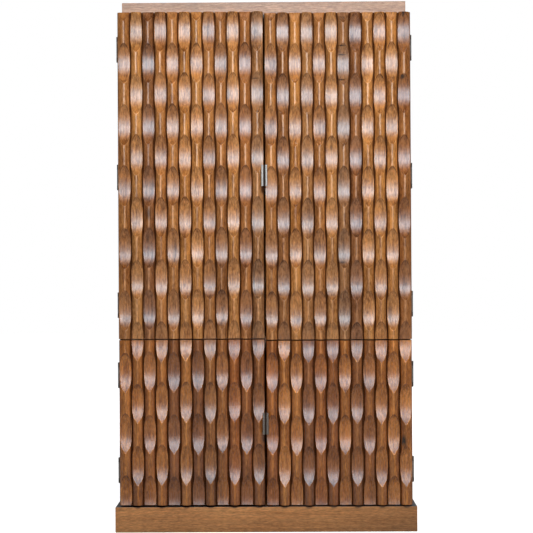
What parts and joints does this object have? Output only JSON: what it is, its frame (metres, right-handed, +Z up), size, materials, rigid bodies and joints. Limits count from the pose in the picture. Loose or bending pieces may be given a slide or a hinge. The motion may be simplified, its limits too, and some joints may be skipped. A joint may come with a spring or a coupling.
{
  "type": "four-door hutch cabinet",
  "caption": "Tall wooden hutch with hinged doors in an upper and a lower pair, faced with scooped upright slats, shelves inside, on a plain plinth.",
  "frame": {"origin": "on the floor, under the middle of the overall box", "axes": "+Z up, +X to the right as seen from the front, the doors face -Y"},
  "size_m": [1.016, 0.469, 1.7923],
  "materials": {
    "carved_wood": "semi-gloss stained hardwood",
    "case_wood": "satin stained hardwood",
    "plinth_wood": "satin stained hardwood",
    "inner_wood": "matt stained board",
    "hinge_metal": "dark bronzed",
    "pull_metal": "satin gunmetal",
    "strike_steel": "plain steel",
    "catch_plastic": "dark brown moulded"
  },
  "bodies": {
    "case": {"plinth_front_rail": "plinth_wood", "plinth_left_rail": "plinth_wood", "plinth_right_rail": "plinth_wood", "bottom_board": "case_wood", "side_panel_left": "case_wood", "side_panel_right": "case_wood", "middle_board": "case_wood", "top_board": "case_wood", "back_panel": "inner_wood", "lower_shelf": "inner_wood", "upper_shelf_low": "inner_wood", "upper_shelf_high": "inner_wood", "lower_magnetic_catch": "catch_plastic", "upper_magnetic_catch": "catch_plastic", "lower_left_hinge_bottom_frame_leaf": "hinge_metal", "lower_left_hinge_bottom_pin": "hinge_metal", "lower_left_hinge_top_frame_leaf": "hinge_metal", "lower_left_hinge_top_pin": "hinge_metal", "lower_right_hinge_bottom_frame_leaf": "hinge_metal", "lower_right_hinge_bottom_pin": "hinge_metal", "lower_right_hinge_top_frame_leaf": "hinge_metal", "lower_right_hinge_top_pin": "hinge_metal", "upper_left_hinge_bottom_frame_leaf": "hinge_metal", "upper_left_hinge_bottom_pin": "hinge_metal", "upper_left_hinge_middle_frame_leaf": "hinge_metal", "upper_left_hinge_middle_pin": "hinge_metal", "upper_left_hinge_top_frame_leaf": "hinge_metal", "upper_left_hinge_top_pin": "hinge_metal", "upper_right_hinge_bottom_frame_leaf": "hinge_metal", "upper_right_hinge_bottom_pin": "hinge_metal", "upper_right_hinge_middle_frame_leaf": "hinge_metal", "upper_right_hinge_middle_pin": "hinge_metal", "upper_right_hinge_top_frame_leaf": "hinge_metal", "upper_right_hinge_top_pin": "hinge_metal"},
    "lower_left_door": {"lower_left_door_board": "case_wood", "lower_left_carved_front": "carved_wood", "lower_left_pull": "pull_metal", "lower_left_strike_plate": "strike_steel", "lower_left_hinge_bottom_door_leaf": "hinge_metal", "lower_left_hinge_top_door_leaf": "hinge_metal"},
    "lower_right_door": {"lower_right_door_board": "case_wood", "lower_right_carved_front": "carved_wood", "lower_right_pull": "pull_metal", "lower_right_strike_plate": "strike_steel", "lower_right_hinge_bottom_door_leaf": "hinge_metal", "lower_right_hinge_top_door_leaf": "hinge_metal"},
    "upper_left_door": {"upper_left_door_board": "case_wood", "upper_left_carved_front": "carved_wood", "upper_left_pull": "pull_metal", "upper_left_strike_plate": "strike_steel", "upper_left_hinge_bottom_door_leaf": "hinge_metal", "upper_left_hinge_middle_door_leaf": "hinge_metal", "upper_left_hinge_top_door_leaf": "hinge_metal"},
    "upper_right_door": {"upper_right_door_board": "case_wood", "upper_right_carved_front": "carved_wood", "upper_right_pull": "pull_metal", "upper_right_strike_plate": "strike_steel", "upper_right_hinge_bottom_door_leaf": "hinge_metal", "upper_right_hinge_middle_door_leaf": "hinge_metal", "upper_right_hinge_top_door_leaf": "hinge_metal"}
  },
  "joints": [
    {"name": "lower_left_hinge", "type": "hinge", "parent": "case", "child": "lower_left_door", "pos_m": [-0.4965, -0.17925, 0.3665], "axis": [0, 0, -1], "range_deg": [0, 180]},
    {"name": "lower_right_hinge", "type": "hinge", "parent": "case", "child": "lower_right_door", "pos_m": [0.4965, -0.17925, 0.3665], "axis": [0, 0, 1], "range_deg": [0, 180]},
    {"name": "upper_left_hinge", "type": "hinge", "parent": "case", "child": "upper_left_door", "pos_m": [-0.4965, -0.17925, 1.199], "axis": [0, 0, -1], "range_deg": [0, 180]},
    {"name": "upper_right_hinge", "type": "hinge", "parent": "case", "child": "upper_right_door", "pos_m": [0.4965, -0.17925, 1.199], "axis": [0, 0, 1], "range_deg": [0, 180]}
  ]
}
